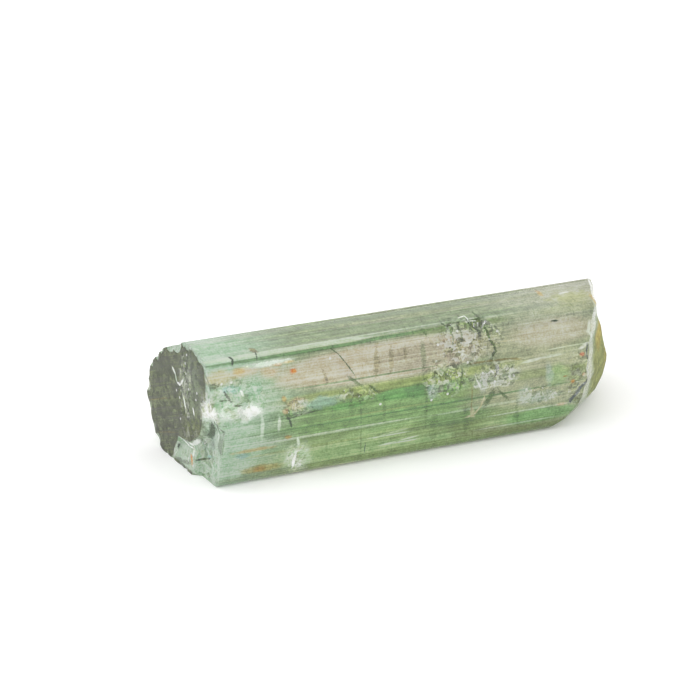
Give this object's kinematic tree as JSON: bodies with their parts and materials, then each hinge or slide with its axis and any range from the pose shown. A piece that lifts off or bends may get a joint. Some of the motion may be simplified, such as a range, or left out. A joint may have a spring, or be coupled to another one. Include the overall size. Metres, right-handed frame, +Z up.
{
  "type": "tourmaline crystal",
  "caption": "Natural green tourmaline crystal for display: a half-clear, striated prism of rounded triangular section, broken at both ends, lying on its side.",
  "frame": {"origin": "on the surface that the crystal rests on, under the middle of its bounding box", "axes": "+X along the crystal's long axis from the flat chipped end to the stepped break, -Y the front, +Z up"},
  "size_m": [0.0384, 0.0132, 0.0105],
  "materials": {
    "tourmaline": "natural striated crystal, half clear"
  },
  "bodies": {
    "root": {"crystal": "tourmaline"}
  },
  "joints": []
}
